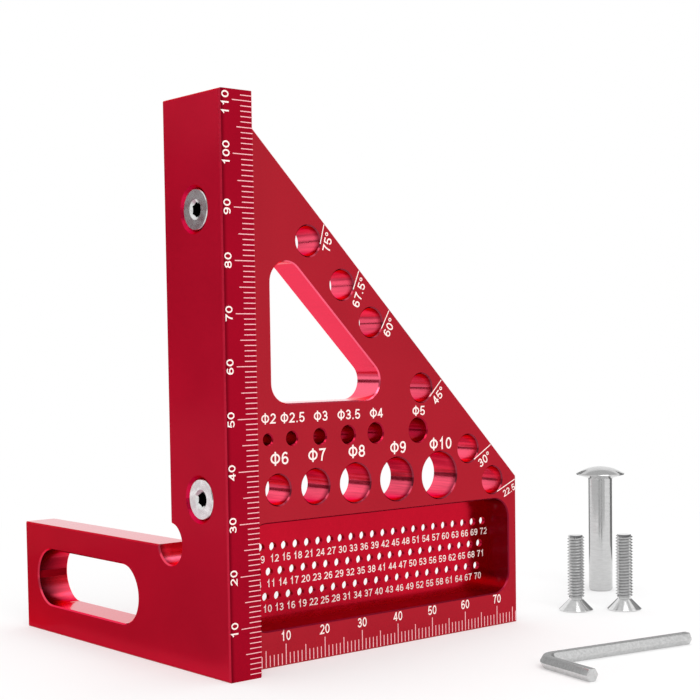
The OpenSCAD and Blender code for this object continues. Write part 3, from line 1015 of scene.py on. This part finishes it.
def card(name, place, bearing, tilt, size, colour):
    """Put a card with its middle at a place, seen only by shiny surfaces and only from its front.
    On edge, the front looks back along a bearing in degrees. At a tilt of 90 the card hangs flat
    and looks down, and at -90 it lies flat and looks up."""
    bpy.ops.mesh.primitive_plane_add(size=1)
    panel = bpy.context.object
    panel.name = panel.data.name = name
    panel.scale = (*size, 1)
    panel.rotation_euler = (math.radians(90 + tilt), 0, math.radians(bearing - 90))
    panel.location = place
    cloth, tree = bare_material(name + "_cloth")
    side = add_node(tree, "ShaderNodeNewGeometry", {})
    shade = add_node(tree, "ShaderNodeEmission", {"Color": linear(colour), "Strength": 1.0})
    clear = add_node(tree, "ShaderNodeBsdfTransparent", {})
    one_sided = add_node(tree, "ShaderNodeMixShader", {
        0: side.outputs["Backfacing"], 1: shade.outputs["Emission"], 2: clear.outputs["BSDF"]})
    add_node(tree, "ShaderNodeOutputMaterial", {"Surface": one_sided.outputs["Shader"]})
    panel.data.materials.append(cloth)
    panel.visible_camera = panel.visible_diffuse = panel.visible_shadow = False


def card_at(name, middle, bearing, distance, width, low, high, colour):
    """Stand a card on edge between two heights, some way off from a point that it faces."""
    turn = math.radians(bearing)
    place = (middle.x + distance * math.cos(turn), middle.y + distance * math.sin(turn),
             (low + high) / 2)
    card(name, place, bearing, 0, (width, high - low), colour)


soft_box("top_box", direction=(0.1, 0.1, 1.0), distance=1.1, side=0.9, power=3.2)
soft_box("front_box", direction=(-0.35, -0.8, 0.6), distance=1.3, side=0.9, power=6.5)

# Cards round the ruler, each with its bearing, distance, width, lowest and highest point, and
# colour: a dark one low at the left behind it, and grey ones behind the camera and at the right.
for name, *values in (
        ("horizon_card", 130.4, 1.2, 0.75, 0.0, 0.26, "6A3642"),
        ("camera_card", 229.6, 1.2, 1.9, -0.1, 1.0, "A0A0A0"),
        ("right_card", -4, 1.2, 0.72, -0.1, 1.9, "989898")):
    card_at(name, ruler_middle, *values)

# Cards close round the pin, for the grey streaks down its shank
for name, *values in (
        ("pin_front_card", 229.6, 0.03, 0.042, 0.0, 0.05, "D4D4D4"),
        ("pin_right_card", -8, 0.03, 0.028, 0.0, 0.05, "808080"),
        ("pin_back_card", 77, 0.03, 0.019, 0.0, 0.05, "8C8C8C")):
    card_at(name, pin_middle, *values)

# Cards on the floor, each with its place, width, depth and colour: near and far behind the plate,
# and at the left behind the fence. They stand for the red that the ruler throws on the paper.
for name, place, width, depth, colour in (
        ("near_floor_card", (0.04, 0.051, 0.001), 0.08, 0.03, "BC5C7A"),
        ("far_floor_card", (0.025, 0.120, 0.001), 0.11, 0.106, "F4A0B6"),
        ("left_floor_card", (-0.071, 0.090, 0.001), 0.118, 0.17, "CCACB6")):
    card(name, place, 90, -90, (width, depth), colour)

# A card between the ruler and the loose pieces, so that they don't mirror its red, one over the
# pin's dome, and one behind the key
card("ruler_card", (0.084, 0.0305, 0.06), 180, 0, (0.089, 0.12), "DADADA")
card("pin_roof", (pin_middle.x, pin_middle.y, 0.08), 49.6, 90, (0.09, 0.09), "C8C8C8")
card("key_card", (0.060, -0.028, 0.015), 90, 0, (0.09, 0.03), "B8B8B8")

bpy.context.scene.view_settings.view_transform = "Standard"
